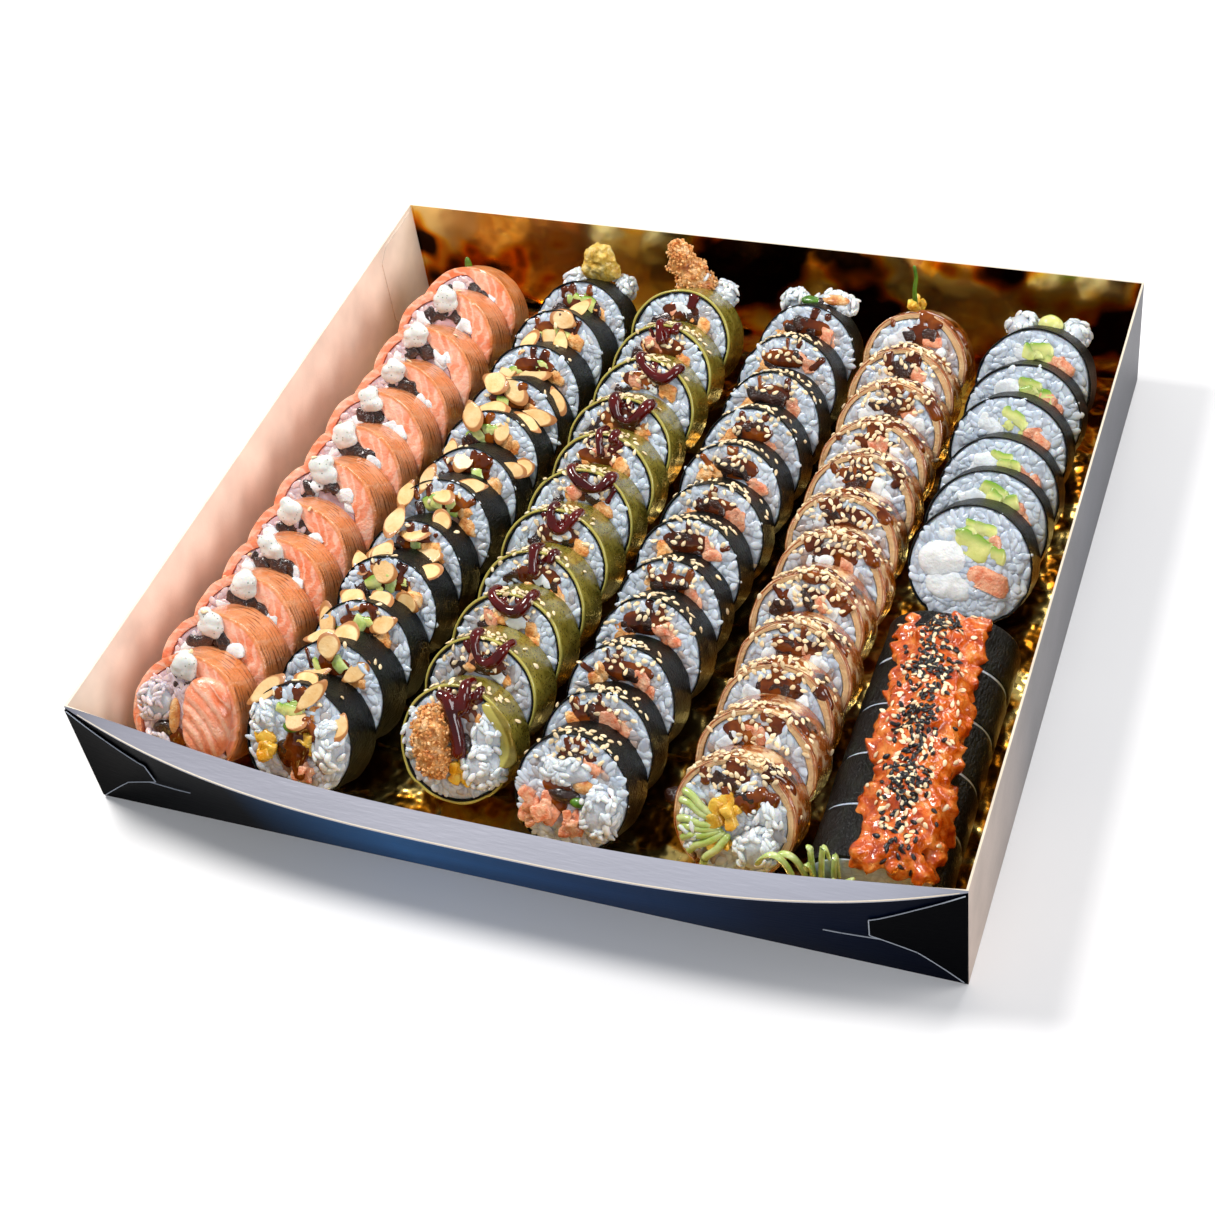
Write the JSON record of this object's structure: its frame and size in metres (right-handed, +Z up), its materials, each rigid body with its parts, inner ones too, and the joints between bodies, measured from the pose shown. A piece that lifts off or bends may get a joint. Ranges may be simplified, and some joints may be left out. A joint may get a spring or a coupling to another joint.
{
  "type": "takeaway sushi tray",
  "caption": "Shallow folded board tray packed with leaning rows of sliced sushi rolls, a long cut roll with chopped salmon on top and cucumber strips.",
  "frame": {"origin": "middle of the tray's underside, at the middle of the whole object's box", "axes": "+X to the right along the bowed front wall, +Y towards the back wall, +Z up; the front wall faces -Y"},
  "size_m": [0.325, 0.3244, 0.0592],
  "materials": {
    "board": "coated paper board: cream edges, pale inside, dark glossy outside",
    "foil": "gold foil lining, a soft mirror",
    "salmon": "raw salmon, moist, with pale stripes and char lines",
    "nori": "dark green-black seaweed sheet, finely wrinkled",
    "wrap": "thin translucent olive-green sheet with dark specks",
    "seared": "seared fish skin, golden brown and charred, glazed",
    "rice": "cooked white rice, slightly translucent",
    "avocado": "soft avocado flesh, yellow to green",
    "mango": "moist yellow fruit and egg",
    "mushroom": "dark glazed mushroom",
    "cream": "soft white cream with fine herbs",
    "fish": "pink fish, moist",
    "sauce": "thick dark brown sauce, glossy",
    "almond": "toasted almond flake, dry, with a browned rim",
    "sesame_seed": "pale sesame seed",
    "black_sesame": "black sesame seed",
    "tempura": "fried batter, dry and craggy",
    "tartare": "chopped salmon in sauce, wet and lumpy",
    "cucumber": "cut cucumber strips, wet",
    "herb": "green herb and onion bits"
  },
  "bodies": {
    "root": {"tray": "board", "salmon_slice_01": "salmon", "salmon_slice_02": "salmon", "salmon_slice_03": "salmon", "salmon_slice_04": "salmon", "salmon_slice_05": "salmon", "salmon_slice_06": "salmon", "salmon_slice_07": "salmon", "salmon_slice_08": "salmon", "salmon_slice_09": "salmon", "salmon_slice_10": "salmon", "almond_slice_01": "nori", "almond_slice_02": "nori", "almond_slice_03": "nori", "almond_slice_04": "nori", "almond_slice_05": "nori", "almond_slice_06": "nori", "almond_slice_07": "nori", "almond_slice_08": "nori", "almond_slice_09": "nori", "almond_slice_10": "nori", "wrapped_slice_01": "wrap", "wrapped_slice_02": "wrap", "wrapped_slice_03": "wrap", "wrapped_slice_04": "wrap", "wrapped_slice_05": "wrap", "wrapped_slice_06": "wrap", "wrapped_slice_07": "wrap", "wrapped_slice_08": "wrap", "wrapped_slice_09": "wrap", "wrapped_slice_10": "wrap", "sesame_slice_01": "nori", "sesame_slice_02": "nori", "sesame_slice_03": "nori", "sesame_slice_04": "nori", "sesame_slice_05": "nori", "sesame_slice_06": "nori", "sesame_slice_07": "nori", "sesame_slice_08": "nori", "sesame_slice_09": "nori", "sesame_slice_10": "nori", "seared_slice_01": "seared", "seared_slice_02": "seared", "seared_slice_03": "seared", "seared_slice_04": "seared", "seared_slice_05": "seared", "seared_slice_06": "seared", "seared_slice_07": "seared", "seared_slice_08": "seared", "seared_slice_09": "seared", "seared_slice_10": "seared", "avocado_slice_01": "nori", "avocado_slice_02": "nori", "avocado_slice_03": "nori", "avocado_slice_04": "nori", "avocado_slice_05": "nori", "avocado_slice_06": "nori", "long_roll": "nori", "tartare_heap": "tartare", "cucumber_strips": "cucumber"}
  },
  "joints": []
}
